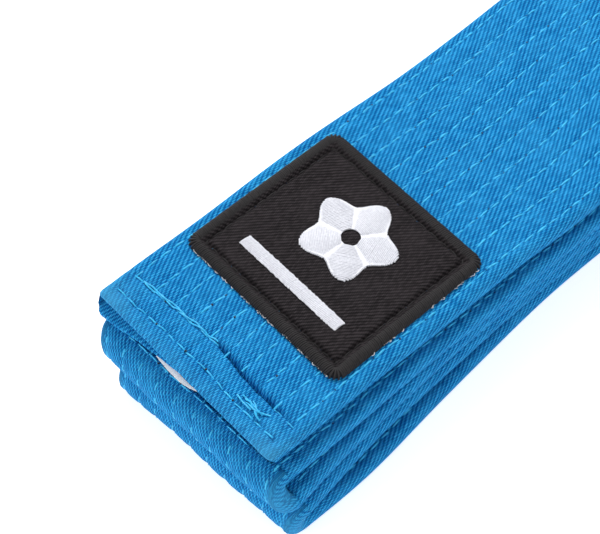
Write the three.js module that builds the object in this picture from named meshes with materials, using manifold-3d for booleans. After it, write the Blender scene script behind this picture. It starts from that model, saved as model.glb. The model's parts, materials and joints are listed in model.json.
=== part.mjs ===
// A cotton martial arts belt, folded zigzag into five runs lying on each other.
// Millimetres. +X across the belt, +Y along the runs, +Z up; the origin is on the
// surface it lies on, under the middle of the stack.
import * as THREE from 'three';
import { mergeVertices } from 'three/addons/utils/BufferGeometryUtils.js';
import Module from 'manifold-3d';

const wasm = await Module();
wasm.setup();

// ---- driving dimensions ----

const beltWidth = 40;
const runLength = 477; // from the front fold line to the far fold line
const runCount = 5;

const coverPly = 0.6; // twill sleeve
const corePly = 0.65; // cotton interlining
const plyGap = 0.3; // between plies, and from a ply to the sleeve around it
const seamGap = 0.3; // between pieces that meet end to end
const layerGap = 0.55; // between one run's thread and the run above

const stitchRows = 10;
const rowPitch = 4;
const threadWidth = 0.6;
const threadRise = 0.2;
const threadLift = 0.05; // thread and trim clear the cloth under them by this
const ladderEndInset = 2; // the rows stop this far short of a run's ends

const topEndReach = 1; // the top free end passes the front fold line by this
const bottomEndSetback = 12; // the bottom free end stops this far short of the far fold line
const hemLength = 8;
const hemRowSetbacks = [2.8, 6.5]; // cross rows of stitching, from the end edge
const hemRowMargin = 1.5;
const backTack = { width: 5, length: 1.6, x: 12, setback: 3.6 };

const label = { width: 12, length: 22, ply: 0.2, x: -2.4, reach: 0.6 };

const badgeSide = 33.5;
const badgeSetback = 16.6; // from the top end edge to the badge
const badgeLeftMargin = 2.3; // from the belt's left edge to the badge
const badgePly = 0.7;
const borderWidth = 2.2;
const borderHeight = 1.1;
const borderCorner = 1.4;
const badgeSeam = { inset: 0.5, width: 0.5 };
// The margins keep the two marks clear of the seam and of each other.
const bar = { length: 2.2, rise: 0.4, sideMargin: 2.25, footMargin: 2.75 };
const blossom = { lobes: 5, depth: 0.16, eye: 1.6, rise: 0.4, headMargin: 1.87, footMargin: 4.15 };

const arcSegments = 20;
const outlineSteps = 60;
const cutPast = 1; // a cutting solid runs past the face it opens by this

// ---- sizes that follow ----

const coreThickness = 2 * corePly + plyGap;
const sleeveThickness = coreThickness + 2 * (coverPly + plyGap);
const threadTop = sleeveThickness + threadLift + threadRise;
const runPitch = threadTop + layerGap;
const coreWidth = beltWidth - 2 * (coverPly + plyGap);
const foldOuter = (runPitch + sleeveThickness) / 2;
const foldInner = (runPitch - sleeveThickness) / 2;

const runBase = (index) => index * runPitch; // underside of run 0, 1, 2 ...
const foldHeight = (index) => runBase(index) + (sleeveThickness + runPitch) / 2;
const topBase = runBase(runCount - 1);
const topEndY = -topEndReach;
const bottomEndY = runLength - bottomEndSetback;

// ---- materials ----

const cloth = (color, roughness = 0.9) =>
  new THREE.MeshStandardMaterial({ color, roughness, metalness: 0 });
const coverCloth = cloth(0x248acb);
const coreCloth = cloth(0xe4dfd2, 0.95);
const blueThread = cloth(0x1fa3dc, 0.6);
const badgeTwill = cloth(0x2a282b, 0.85);
const badgeBorder = cloth(0x1b1a1c, 0.7);
const blackThread = cloth(0x111012, 0.6);
const whiteThread = cloth(0xf1f1f3, 0.5);
const labelTape = cloth(0xf4f4f2, 0.7);

// ---- helpers ----

const stack = new THREE.Group();
stack.position.y = -runLength / 2;

function add(name, geometry, material, position = [0, 0, 0]) {
  const mesh = new THREE.Mesh(geometry, material);
  mesh.name = name;
  mesh.position.set(...position);
  stack.add(mesh);
}

function solidOf(geometry) {
  const bare = geometry.index ? geometry.toNonIndexed() : geometry.clone();
  bare.deleteAttribute('normal');
  bare.deleteAttribute('uv');
  const merged = mergeVertices(bare, 1e-4);
  return new wasm.Manifold(
    new wasm.Mesh({
      numProp: 3,
      vertProperties: new Float32Array(merged.attributes.position.array),
      triVerts: new Uint32Array(merged.index.array),
    }),
  );
}

function geometryOf(solid) {
  const mesh = solid.getMesh();
  const geometry = new THREE.BufferGeometry();
  geometry.setAttribute('position', new THREE.BufferAttribute(mesh.vertProperties, 3));
  geometry.setIndex(new THREE.BufferAttribute(mesh.triVerts, 1));
  geometry.computeVertexNormals();
  return geometry;
}

const cut = (body, tool) => geometryOf(solidOf(body).subtract(solidOf(tool)));

// A box from y0 to y1 with its underside at z0, centred on X.
function slab(width, y0, y1, z0, height) {
  return new THREE.BoxGeometry(width, y1 - y0, height).translate(
    0,
    (y0 + y1) / 2,
    z0 + height / 2,
  );
}

function rectangle(path, x0, y0, x1, y1) {
  path.moveTo(x0, y0).lineTo(x1, y0).lineTo(x1, y1).lineTo(x0, y1).closePath();
  return path;
}

function roundedSquare(path, side, radius) {
  const flat = side / 2 - radius;
  path.moveTo(flat, -side / 2);
  path.absarc(flat, -flat, radius, -Math.PI / 2, 0);
  path.absarc(flat, flat, radius, 0, Math.PI / 2);
  path.absarc(-flat, flat, radius, Math.PI / 2, Math.PI);
  path.absarc(-flat, -flat, radius, Math.PI, 1.5 * Math.PI);
  path.closePath();
  return path;
}

const plate = (shape, rise) =>
  new THREE.ExtrudeGeometry(shape, { depth: rise, bevelEnabled: false, curveSegments: 6 });

// A band bent half round an axis along X, opening towards +Y, with straight tails.
function uBand(inner, outer, width, tail = 0) {
  const shape = new THREE.Shape();
  shape.moveTo(tail, outer);
  if (tail > 0) shape.lineTo(0, outer);
  shape.absarc(0, 0, outer, Math.PI / 2, 1.5 * Math.PI, false);
  if (tail > 0) shape.lineTo(tail, -outer);
  shape.lineTo(tail, -inner);
  if (tail > 0) shape.lineTo(0, -inner);
  shape.absarc(0, 0, inner, 1.5 * Math.PI, Math.PI / 2, true);
  if (tail > 0) shape.lineTo(tail, inner);
  shape.closePath();
  const band = new THREE.ExtrudeGeometry(shape, {
    depth: width,
    bevelEnabled: false,
    curveSegments: arcSegments,
  });
  // section axes to Y and Z, depth to X
  const turn = new THREE.Matrix4().makeBasis(
    new THREE.Vector3(0, 1, 0),
    new THREE.Vector3(0, 0, 1),
    new THREE.Vector3(1, 0, 0),
  );
  return band.applyMatrix4(turn).translate(-width / 2, 0, 0);
}

// ---- runs ----

// Rows of topstitching along a run, tied together by a cross row at each end.
function stitchLadder(length) {
  const span = (stitchRows - 1) * rowPitch + threadWidth;
  let ladder = solidOf(slab(span, 0, length, 0, threadRise));
  for (let row = 0; row < stitchRows - 1; row++) {
    const opening = slab(
      rowPitch - threadWidth,
      threadWidth,
      length - threadWidth,
      -cutPast,
      2 * cutPast,
    ).translate((row + 1 - stitchRows / 2) * rowPitch, 0, 0);
    ladder = ladder.subtract(solidOf(opening));
  }
  return geometryOf(ladder);
}

function addRun(index, y0, y1) {
  const name = `run_${index + 1}`;
  const z = runBase(index);
  const sleeveBlock = slab(beltWidth, y0, y1, z, sleeveThickness);
  const sleeveHollow = slab(
    beltWidth - 2 * coverPly,
    y0 - cutPast,
    y1 + cutPast,
    z + coverPly,
    sleeveThickness - 2 * coverPly,
  );
  add(`${name}_cover`, cut(sleeveBlock, sleeveHollow), coverCloth);
  const lowerPly = z + coverPly + plyGap;
  const upperPly = lowerPly + corePly + plyGap;
  add(`${name}_core_lower`, slab(coreWidth, y0, y1, lowerPly, corePly), coreCloth);
  add(`${name}_core_upper`, slab(coreWidth, y0, y1, upperPly, corePly), coreCloth);
  add(`${name}_topstitch`, stitchLadder(y1 - y0 - 2 * ladderEndInset), blueThread, [
    0,
    y0 + ladderEndInset,
    z + sleeveThickness + threadLift,
  ]);
}

for (let index = 0; index < runCount; index++) {
  const first = index === 0;
  const last = index === runCount - 1;
  addRun(
    index,
    last ? topEndY + hemLength + seamGap : seamGap,
    first ? bottomEndY - hemLength - seamGap : runLength - seamGap,
  );
}

// ---- folds ----

function addFold(index) {
  const name = `fold_${'abcd'[index]}`;
  const atFront = index % 2 === 0;
  const place = (geometry) => {
    if (!atFront) geometry.rotateZ(Math.PI);
    return geometry.translate(0, atFront ? 0 : runLength, foldHeight(index));
  };
  const sleeve = uBand(foldInner, foldOuter, beltWidth);
  const hollow = uBand(
    foldInner + coverPly,
    foldOuter - coverPly,
    beltWidth - 2 * coverPly,
    cutPast,
  );
  add(`${name}_cover`, place(cut(sleeve, hollow)), coverCloth);
  const innerPly = foldInner + coverPly + plyGap;
  const outerPly = innerPly + corePly + plyGap;
  add(`${name}_core_inner`, place(uBand(innerPly, innerPly + corePly, coreWidth)), coreCloth);
  add(`${name}_core_outer`, place(uBand(outerPly, outerPly + corePly, coreWidth)), coreCloth);
}

for (let index = 0; index < runCount - 1; index++) addFold(index);

// ---- free ends: the sleeve closed over its turned-in allowance, with two cross rows ----

// inward is +1 where the belt lies on the +Y side of the end edge, -1 on the other.
function addFreeEnd(name, edgeY, inward, z) {
  const at = (setback) => edgeY + inward * setback;
  const span = (from, to) => [Math.min(at(from), at(to)), Math.max(at(from), at(to))];
  const hem = slab(beltWidth, ...span(0, hemLength), z, sleeveThickness);
  const pocket = slab(
    beltWidth - 2 * coverPly,
    ...span(coverPly, hemLength + cutPast),
    z + coverPly,
    sleeveThickness - 2 * coverPly,
  );
  add(`${name}_hem`, cut(hem, pocket), coverCloth);
  add(
    `${name}_turned_in_ply`,
    slab(coreWidth, ...span(coverPly + plyGap, hemLength), z + coverPly + plyGap, coreThickness),
    coverCloth,
  );
  hemRowSetbacks.forEach((setback, row) => {
    const half = threadWidth / 2;
    add(
      `${name}_cross_row_${row + 1}`,
      slab(
        beltWidth - 2 * hemRowMargin,
        ...span(setback - half, setback + half),
        z + sleeveThickness + threadLift,
        threadRise,
      ),
      blueThread,
    );
  });
}

addFreeEnd('top_end', topEndY, 1, topBase);
addFreeEnd('bottom_end', bottomEndY, -1, runBase(0));

const backTackY = topEndY + backTack.setback;
add(
  'top_end_back_tack',
  slab(
    backTack.width,
    backTackY,
    backTackY + backTack.length,
    topBase + sleeveThickness + threadLift,
    threadRise,
  ),
  blueThread,
  [backTack.x, 0, 0],
);

// ---- woven label caught under the top end ----

const labelBase = topBase - threadLift - label.ply;
const labelY = topEndY - label.reach;
add(
  'care_label',
  slab(label.width, labelY, labelY + label.length, labelBase, label.ply),
  labelTape,
  [label.x, 0, 0],
);

// ---- badge sewn on the top end ----

const badgeBase = topBase + threadTop + threadLift;
const badgeCentre = [
  -beltWidth / 2 + badgeLeftMargin + badgeSide / 2,
  topEndY + badgeSetback + badgeSide / 2,
];
const badgeAt = (z, y = 0) => [badgeCentre[0], badgeCentre[1] + y, z];
const fieldSide = badgeSide - 2 * (borderWidth + plyGap);
const fieldTop = badgeBase + badgePly + threadLift;

const borderShape = roundedSquare(new THREE.Shape(), badgeSide, borderCorner);
const fieldOpening = badgeSide / 2 - borderWidth;
borderShape.holes.push(
  rectangle(new THREE.Path(), -fieldOpening, -fieldOpening, fieldOpening, fieldOpening),
);
add('badge_border', plate(borderShape, borderHeight), badgeBorder, badgeAt(badgeBase));

const fieldPlate = new THREE.BoxGeometry(fieldSide, fieldSide, badgePly);
add('badge_field', fieldPlate, badgeTwill, badgeAt(badgeBase + badgePly / 2));

const seamHalf = fieldSide / 2 - badgeSeam.inset;
const seamShape = rectangle(new THREE.Shape(), -seamHalf, -seamHalf, seamHalf, seamHalf);
const seamOpening = seamHalf - badgeSeam.width;
seamShape.holes.push(
  rectangle(new THREE.Path(), -seamOpening, -seamOpening, seamOpening, seamOpening),
);
add('badge_seam', plate(seamShape, threadRise), blackThread, badgeAt(fieldTop));

const barWidth = 2 * (seamOpening - bar.sideMargin);
const barTop = bar.footMargin + bar.length - seamOpening;
const barPlate = new THREE.BoxGeometry(barWidth, bar.length, bar.rise);
const barY = barTop - bar.length / 2;
add('badge_bar', barPlate, whiteThread, badgeAt(fieldTop + bar.rise / 2, barY));

// A plain blossom outline: a circle with shallow lobes and an open eye. One lobe
// points up, and the lowest two end half a lobe's turn to each side of straight down.
const blossomHead = seamOpening - blossom.headMargin;
const blossomRoom = blossomHead - barTop - blossom.footMargin;
const lobeReach = blossomRoom / (1 + Math.cos(Math.PI / blossom.lobes));
const blossomRadius = lobeReach / (1 + blossom.depth);
const blossomPoints = Array.from({ length: outlineSteps }, (_, step) => {
  const angle = (step / outlineSteps) * 2 * Math.PI + Math.PI / 2;
  const lobe = Math.cos(blossom.lobes * (angle - Math.PI / 2));
  const radius = blossomRadius * (1 + blossom.depth * lobe);
  return new THREE.Vector2(radius * Math.cos(angle), radius * Math.sin(angle));
});
const blossomShape = new THREE.Shape(blossomPoints);
blossomShape.holes.push(new THREE.Path().absarc(0, 0, blossom.eye, 0, 2 * Math.PI));
const blossomPlate = plate(blossomShape, blossom.rise);
add('badge_blossom', blossomPlate, whiteThread, badgeAt(fieldTop, blossomHead - lobeReach));

const belt = new THREE.Group();
belt.add(stack);

export default belt;
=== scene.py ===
# A folded cotton belt: twill runs and folds, topstitching, a hemmed end and a sewn badge.
import json
import math
import random

import bpy
import numpy as np
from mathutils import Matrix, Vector


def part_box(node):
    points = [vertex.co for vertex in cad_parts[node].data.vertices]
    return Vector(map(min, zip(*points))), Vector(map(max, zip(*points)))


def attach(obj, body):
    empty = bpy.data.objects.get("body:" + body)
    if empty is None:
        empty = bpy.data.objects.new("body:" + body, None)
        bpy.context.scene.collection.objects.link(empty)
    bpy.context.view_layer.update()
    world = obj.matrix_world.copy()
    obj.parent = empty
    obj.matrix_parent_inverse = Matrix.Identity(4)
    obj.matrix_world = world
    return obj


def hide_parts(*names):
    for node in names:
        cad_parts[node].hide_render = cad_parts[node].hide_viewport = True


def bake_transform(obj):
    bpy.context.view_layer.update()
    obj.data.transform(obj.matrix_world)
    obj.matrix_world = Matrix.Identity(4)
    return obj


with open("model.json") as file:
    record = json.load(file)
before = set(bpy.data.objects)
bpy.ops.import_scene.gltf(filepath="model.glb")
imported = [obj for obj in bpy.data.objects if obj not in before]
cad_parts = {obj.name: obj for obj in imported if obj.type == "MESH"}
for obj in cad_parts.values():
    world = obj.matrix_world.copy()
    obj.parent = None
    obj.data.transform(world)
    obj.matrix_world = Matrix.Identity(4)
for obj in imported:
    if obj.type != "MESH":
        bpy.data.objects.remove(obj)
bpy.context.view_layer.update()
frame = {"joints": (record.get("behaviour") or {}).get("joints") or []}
mm = 0.001
print("frame loaded")

scene = bpy.context.scene
joints = {joint["name"]: joint for joint in frame["joints"]}
foldNames = ["fold_a", "fold_b", "fold_c", "fold_d"]
levels = ["bottom_run", "second_run", "third_run", "fourth_run", "top_run"]
frontY = joints["fold_a_opens"]["pos_m"][1]
farY = joints["fold_b_opens"]["pos_m"][1]
runBoxes = [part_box(f"run_{number}_cover") for number in range(1, 6)]
halfWidth = (runBoxes[0][1].x - runBoxes[0][0].x) / 2
midHeight = [(low.z + high.z) / 2 for low, high in runBoxes]
pitch = midHeight[1] - midHeight[0]
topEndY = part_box("top_end_hem")[0].y
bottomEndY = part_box("bottom_end_hem")[1].y

# camera, lights, floor

cameraLook = {
    "azimuth": 43.65, "elevation": 56.8, "roll": 4.0, "distance": 0.332, "lens": 116.5,
    "targetX": -0.0118, "targetBack": 0.0353,  # the target's distance behind the front fold line
}
studio = {
    "world": 0.52, "key": 6.5, "fill": 3.4, "side": 0.75,
    "floor": (0.97, 0.97, 0.97, 1), "floorGlow": 0.58, "floorReach": 6.0,
}


def makeCamera(look):
    azimuth, elevation, roll = (math.radians(look[key]) for key in ("azimuth", "elevation", "roll"))
    away = np.array([
        math.sin(azimuth) * math.cos(elevation),
        -math.cos(azimuth) * math.cos(elevation),
        math.sin(elevation),
    ])
    target = np.array([look["targetX"], frontY + look["targetBack"], 0.0])
    data = bpy.data.cameras.new("camera")
    data.lens = look["lens"]
    data.sensor_width = 36
    data.clip_start = 0.01
    camera = bpy.data.objects.new("camera", data)
    scene.collection.objects.link(camera)
    camera.location = target + away * look["distance"]
    camera.rotation_euler = (math.pi / 2 - elevation, 0, azimuth)
    camera.rotation_euler.rotate_axis("Z", roll)
    scene.camera = camera


def addArea(name, location, size, energy, aim):
    data = bpy.data.lights.new(name, "AREA")
    data.size = size
    data.energy = energy
    lamp = bpy.data.objects.new(name, data)
    scene.collection.objects.link(lamp)
    lamp.location = location
    across, along, down = (aim[i] - location[i] for i in range(3))
    lamp.rotation_euler = (math.atan2(math.hypot(across, along), -down), 0, math.atan2(-across, along))


makeCamera(cameraLook)
aimPoint = (0, frontY + 0.05, 0)
addArea("key_light", (-0.42, frontY + 0.44, 0.68), 0.25, studio["key"], aimPoint)
addArea("fill_light", (-0.4, frontY - 0.75, 0.3), 0.5, studio["fill"], aimPoint)
addArea("side_light", (0.55, frontY + 0.05, 0.16), 0.4, studio["side"], aimPoint)
scene.world = bpy.data.worlds.new("studio")
scene.world.use_nodes = True
sky = scene.world.node_tree.nodes["Background"]
sky.inputs["Color"].default_value = (1, 1, 1, 1)
sky.inputs["Strength"].default_value = studio["world"]
scene.view_settings.view_transform = "Standard"
print("camera and lights ready")


# materials

def plug(tree, source, target):
    if isinstance(source, (int, float, tuple, str)):
        target.default_value = source
    else:
        tree.links.new(source, target)


# A node with its settings made and its inputs set or linked, by name or number.
def addNode(tree, kind, inputs=None, **settings):
    node = tree.nodes.new(kind)
    for name, value in settings.items():
        setattr(node, name, value)
    for place, source in (inputs or {}).items():
        plug(tree, source, node.inputs[place])
    return node


def newMaterial(name, roughness, sheen=0.0, specular=0.5):
    material = bpy.data.materials.new(name)
    material.use_nodes = True
    shader = material.node_tree.nodes["Principled BSDF"]
    finish = {
        "Roughness": roughness, "IOR": 1.45, "Specular IOR Level": specular,
        "Sheen Weight": sheen, "Sheen Roughness": 0.5,
    }
    for socket, value in finish.items():
        shader.inputs[socket].default_value = value
    return material, material.node_tree, shader


def mathNode(tree, operation, *values, clamp=False):
    inputs = dict(enumerate(values))
    return addNode(tree, "ShaderNodeMath", inputs, operation=operation, use_clamp=clamp).outputs[0]


def noiseNode(tree, vector, scale, detail=2.0, roughness=0.5):
    inputs = {"Vector": vector, "Scale": scale, "Detail": detail, "Roughness": roughness}
    return addNode(tree, "ShaderNodeTexNoise", inputs).outputs["Fac"]


def mixColours(tree, amount, first, second):
    return addNode(tree, "ShaderNodeMix", {0: amount, 6: first, 7: second}, data_type="RGBA").outputs[2]


def rampNode(tree, value, stops):
    node = addNode(tree, "ShaderNodeValToRGB", {0: value})
    ramp = node.color_ramp
    while len(ramp.elements) < len(stops):
        ramp.elements.new(0.5)
    for element, (place, colour) in zip(ramp.elements, stops):
        element.position = place
        element.color = (*colour, 1)
    return node.outputs["Color"]


def addBump(tree, shader, height, distance, strength):
    node = addNode(tree, "ShaderNodeBump", {"Height": height, "Distance": distance, "Strength": strength})
    tree.links.new(node.outputs["Normal"], shader.inputs["Normal"])


# the rib's step is a share of its period; lengths are in millimetres of cloth
# deep, mid and high colour each weave by yarn height: painted shade in the hollows and painted highlight on
# the raised floats; high is also the tone of the paler patches
coverWeave = {
    "warpPitch": 0.27, "ribPeriod": 1.375, "ribStep": 0.36, "float": 0.72, "drift": 0.16,
    "deep": (0.0002, 0.082, 0.30), "mid": (0.002, 0.225, 0.565), "high": (0.04, 0.41, 0.82),
    "worn": (0.055, 0.31, 0.56), "relief": 0.17 * mm, "heather": 0.42,
}
badgeWeave = {
    "warpPitch": 0.22, "ribPeriod": 0.9, "ribStep": -0.317, "float": 0.72, "drift": 0.08,
    "deep": (0.005, 0.0042, 0.005), "mid": (0.016, 0.0135, 0.015), "high": (0.045, 0.038, 0.042),
    "worn": (0.08, 0.075, 0.08), "relief": 0.10 * mm, "heather": 0.5,
}


# Twill on the cloth's own map, whose unit is a millimetre: warp floats, each one weft further than the last.
def twillMaterial(name, weave, roughness):
    material, tree, shader = newMaterial(name, roughness, specular=0.15)
    cloth = addNode(tree, "ShaderNodeUVMap", uv_map="cloth").outputs["UV"]
    split = addNode(tree, "ShaderNodeSeparateXYZ", {0: cloth})
    wander = mathNode(tree, "SUBTRACT", noiseNode(tree, cloth, 0.6, 3), 0.5)
    across = mathNode(tree, "MULTIPLY_ADD", wander, weave["drift"] * 2, split.outputs[0])
    along = mathNode(tree, "MULTIPLY_ADD", wander, weave["drift"] * -3, split.outputs[1])
    fuzz = noiseNode(tree, cloth, 8.0, 3, 0.7)
    patches = noiseNode(tree, cloth, 0.16, 4, 0.65)

    column = mathNode(tree, "DIVIDE", across, weave["warpPitch"])
    yarn = mathNode(tree, "FLOOR", column)
    fromCentre = mathNode(tree, "SUBTRACT", mathNode(tree, "FRACT", column), 0.5)
    offCentre = mathNode(tree, "MULTIPLY", fromCentre, 2)
    crown = mathNode(tree, "SUBTRACT", 1, mathNode(tree, "MULTIPLY", offCentre, offCentre), clamp=True)
    weft = mathNode(tree, "DIVIDE", along, weave["ribPeriod"])
    stepped = mathNode(tree, "MULTIPLY_ADD", yarn, weave["ribStep"], weft)
    place = mathNode(tree, "FRACT", stepped)
    rise = mathNode(tree, "SINE", mathNode(tree, "MULTIPLY", place, math.pi / weave["float"]))
    bow = mathNode(tree, "SQRT", mathNode(tree, "MAXIMUM", rise, 0))
    top = mathNode(tree, "MULTIPLY", bow, mathNode(tree, "ADD", mathNode(tree, "MULTIPLY", crown, 0.7), 0.3))
    height = mathNode(tree, "ADD", top, mathNode(tree, "MULTIPLY", fuzz, 0.3))

    cell = addNode(tree, "ShaderNodeCombineXYZ", {0: yarn, 1: mathNode(tree, "FLOOR", stepped)}).outputs[0]
    speckle = addNode(tree, "ShaderNodeTexWhiteNoise", noise_dimensions="2D")
    tree.links.new(cell, speckle.inputs["Vector"])
    heather = mathNode(tree, "SUBTRACT", speckle.outputs["Value"], 0.5)
    uneven = mathNode(tree, "MULTIPLY", heather, weave["heather"])
    # painted shade and highlight: the ramp darkens the weave's hollows and lightens its raised floats, and
    # adds a real uneven tone per yarn
    shade = mathNode(tree, "ADD", mathNode(tree, "SUBTRACT", height, 0.15), uneven, clamp=True)
    colour = rampNode(tree, shade, [(0.0, weave["deep"]), (0.5, weave["mid"]), (1.0, weave["high"])])
    mottle = mathNode(tree, "MULTIPLY", mathNode(tree, "SUBTRACT", patches, 0.45, clamp=True), 0.9)
    colour = mixColours(tree, mottle, colour, (*weave["high"], 1))

    wear = addNode(tree, "ShaderNodeAttribute", attribute_name="wear").outputs["Fac"]
    faded = mathNode(tree, "MULTIPLY", wear, mathNode(tree, "ADD", fuzz, 0.25), clamp=True)
    colour = mixColours(tree, faded, colour, (*weave["worn"], 1))
    left = mathNode(tree, "SUBTRACT", 1, mathNode(tree, "MULTIPLY", wear, 0.5))
    tree.links.new(colour, shader.inputs["Base Color"])
    addBump(tree, shader, mathNode(tree, "MULTIPLY", height, left), weave["relief"], 0.9)
    return material


# Spun thread: a fine twist and a little uneven dye, in the piece's own coordinates.
def threadMaterial(name, dark, light, roughness, sheen=0.0):
    material, tree, shader = newMaterial(name, roughness, sheen)
    twist = 2600
    place = tree.nodes.new("ShaderNodeTexCoord").outputs["Object"]
    fine = noiseNode(tree, place, twist, 2, 0.6)
    broad = noiseNode(tree, place, twist / 12, 2)
    blend = mathNode(tree, "MULTIPLY_ADD", fine, 0.7, mathNode(tree, "MULTIPLY", broad, 0.3), clamp=True)
    tree.links.new(rampNode(tree, blend, [(0.25, dark), (0.7, light)]), shader.inputs["Base Color"])
    addBump(tree, shader, fine, 0.06 * mm, 0.6)
    return material


def plainClothMaterial(name, dark, light, roughness, scale):
    material, tree, shader = newMaterial(name, roughness, 0.15)
    place = tree.nodes.new("ShaderNodeTexCoord").outputs["Object"]
    weaveCheck = noiseNode(tree, place, scale, 3, 0.7)
    tree.links.new(rampNode(tree, weaveCheck, [(0.3, dark), (0.7, light)]), shader.inputs["Base Color"])
    addBump(tree, shader, weaveCheck, 0.08 * mm, 0.5)
    return material


coverTwill = twillMaterial("cover_twill", coverWeave, 0.9)
badgeTwill = twillMaterial("badge_twill", badgeWeave, 0.85)
blueThread = threadMaterial("blue_thread", (0.002, 0.31, 0.67), (0.05, 0.60, 0.95), 0.42)
blackThread = threadMaterial("black_thread", (0.0035, 0.003, 0.0035), (0.022, 0.019, 0.021), 0.75)
whiteThread = threadMaterial("white_thread", (0.57, 0.58, 0.64), (0.80, 0.81, 0.87), 0.4)
lintFibre = threadMaterial("lint_fibre", (0.5, 0.5, 0.52), (0.85, 0.85, 0.85), 0.8, sheen=0.1)
interlining = plainClothMaterial("interlining", (0.55, 0.50, 0.40), (0.82, 0.78, 0.69), 0.95, 900)
labelTape = plainClothMaterial("label_tape", (0.78, 0.80, 0.83), (0.92, 0.93, 0.94), 0.6, 1800)
# dark cloth for the needle holes: painted shade
holeShade = plainClothMaterial("needle_hole", (0.0004, 0.005, 0.014), (0.0015, 0.014, 0.04), 1.0, 1500)
floorCloth, floorTree, floorShader = newMaterial("floor", 0.9)
floorShader.inputs["Base Color"].default_value = studio["floor"]
floorShader.inputs["Emission Color"].default_value = (1, 1, 1, 1)
floorShader.inputs["Emission Strength"].default_value = studio["floorGlow"]
print("materials ready")


# belt form

strap = {
    "thickness": 3.66 * mm, "edgeRound": 1.58 * mm, "spread": 0.25 * mm, "faceSteps": 76, "arcSteps": 5,
    "rowCount": 10, "rowPitch": 4.0 * mm, "rowDepth": 0.2 * mm, "rowHalf": 0.55 * mm,
    "fineStep": 0.9 * mm, "coarseStep": 3.0 * mm, "fineReach": 118 * mm,
}
# How far each run lies off to the right, in mm: at the front, further back, and how far and how sharply
# the change reaches. A bump is its place, its width and its push.
sway = [
    {"near": 4.9, "far": 0.6, "reach": 42, "hold": 2.5, "wave": 0.35, "turn": 1.1},
    {"near": 4.7, "far": 0.7, "reach": 24, "hold": 1, "wave": 0.3, "turn": 2.3},
    {"near": 4.3, "far": 1.0, "reach": 22, "hold": 1, "wave": 0.3, "turn": 3.9},
    {"near": 1.7, "far": 1.1, "reach": 60, "hold": 1, "wave": 0.35, "turn": 5.0},
    {"near": -0.6, "far": -0.3, "reach": 80, "hold": 2, "wave": 0.25, "turn": 3.4,
     "bumps": [(67, 13, 0.6), (92, 9, -0.4)]},
]
# Each front fold's line: how far back it sits, in mm, and how much it slants.
foldLines = {0: {"back": 1.45, "slant": 0.06}, 2: {"back": 0.0, "slant": 0.042}}
rowPlaces = [(row - (strap["rowCount"] - 1) / 2) * strap["rowPitch"] for row in range(strap["rowCount"])]


def smooth(value, low, high):
    share = np.clip((np.asarray(value, float) - low) / (high - low), 0, 1)
    return share * share * (3 - 2 * share)


# The sideways place of a run at each y.
def sideShift(level, y):
    form = sway[level]
    back = (np.asarray(y, float) - frontY) / mm
    hold = np.exp(-((np.maximum(back, 0) / form["reach"]) ** form["hold"]))
    settle = form["far"] + (form["near"] - form["far"]) * hold
    drift = form["wave"] * np.sin(back / 41 + form["turn"]) * smooth(back, 8, 60)
    for place, width, push in form.get("bumps", ()):
        drift = drift + push * np.exp(-(((back - place) / width) ** 2))
    return (settle + drift) * mm


# How far a point near a front fold lies behind the straight front line.
def lineShift(level, x, y):
    line = foldLines.get(level // 2 * 2)
    if line is None:
        return 0 * np.asarray(x + y, float)
    fade = 1 - smooth(np.asarray(y, float) - frontY, 0, 34 * mm)
    return (line["back"] * mm + line["slant"] * x) * fade


def edgeWave(level, y):
    return 1 + 0.006 * np.sin(y / mm / 13 + level) + 0.004 * np.sin(y / mm / 5.3 + 2 * level)


# A soft rise and fall shared by the whole stack, growing with height so that runs stay apart.
def stackLift(level, x, y):
    back = (np.asarray(y, float) - frontY) / mm
    roll = 0.5 + 0.28 * np.sin(back / 23 + 0.7) + 0.22 * np.sin(back / 57 + 2.0 + np.asarray(x) / mm / 30)
    return (0.1 * roll - 0.08) * mm * level * (1 - smooth(back, 160, 300))


# How far the stitched rows pull each face in, x measured from the belt's middle line.
def rowDraw(x):
    total = 0
    for place in rowPlaces:
        total = total + np.exp(-(((x - place) / strap["rowHalf"]) ** 2))
    return total * strap["rowDepth"]


# Uneven cloth between the rows.
def faceRipple(x, y, seed):
    a, b = np.asarray(x) / mm, np.asarray(y) / mm
    ripple = (
        0.05 * np.sin(a * 1.57 + b / 6.1 + seed)
        + 0.04 * np.sin(b / 3.7 + a / 2.9 + 1.7 * seed)
        + 0.05 * np.sin(b / 11 - a / 7 + 2.3 * seed)
    )
    return ripple * mm


# One closed section: x, height and outline length, upper face first, from the left edge's middle.
def strapSection(half, thick, edge, faceSteps, arcSteps):
    arc = np.linspace(0, math.pi / 2, arcSteps + 1)
    leftX, rise = -half + edge * (1 - np.cos(arc)), np.sin(arc) * thick / 2
    faceX = np.linspace(-half + edge, half - edge, faceSteps + 1)[1:-1]
    upperX = np.concatenate([leftX, faceX, -leftX[::-1]])
    upperH = np.concatenate([rise, np.full(len(faceX), thick / 2), rise[::-1]])
    x = np.concatenate([upperX, upperX[-2:0:-1]])
    h = np.concatenate([upperH, -upperH[-2:0:-1]])
    steps = np.hypot(np.diff(x, append=x[0]), np.diff(h, append=h[0]))
    outline = np.concatenate([[0], np.cumsum(steps)])
    return x, h, outline / mm


strapHalf = halfWidth + strap["spread"]
section = strapSection(
    strapHalf, strap["thickness"], strap["edgeRound"], strap["faceSteps"], strap["arcSteps"],
)


def linkPiece(name, mesh):
    piece = bpy.data.objects.new(name, mesh)
    scene.collection.objects.link(piece)
    return piece


def meshPiece(name, points, faces, material, smoothShaded=True):
    mesh = bpy.data.meshes.new(name)
    mesh.from_pydata(points, [], faces)
    mesh.polygons.foreach_set("use_smooth", np.full(len(mesh.polygons), smoothShaded))
    mesh.materials.append(material)
    return linkPiece(name, mesh)


def loopVertices(mesh):
    loops = np.empty(len(mesh.loops), int)
    mesh.loops.foreach_get("vertex_index", loops)
    return loops


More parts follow.
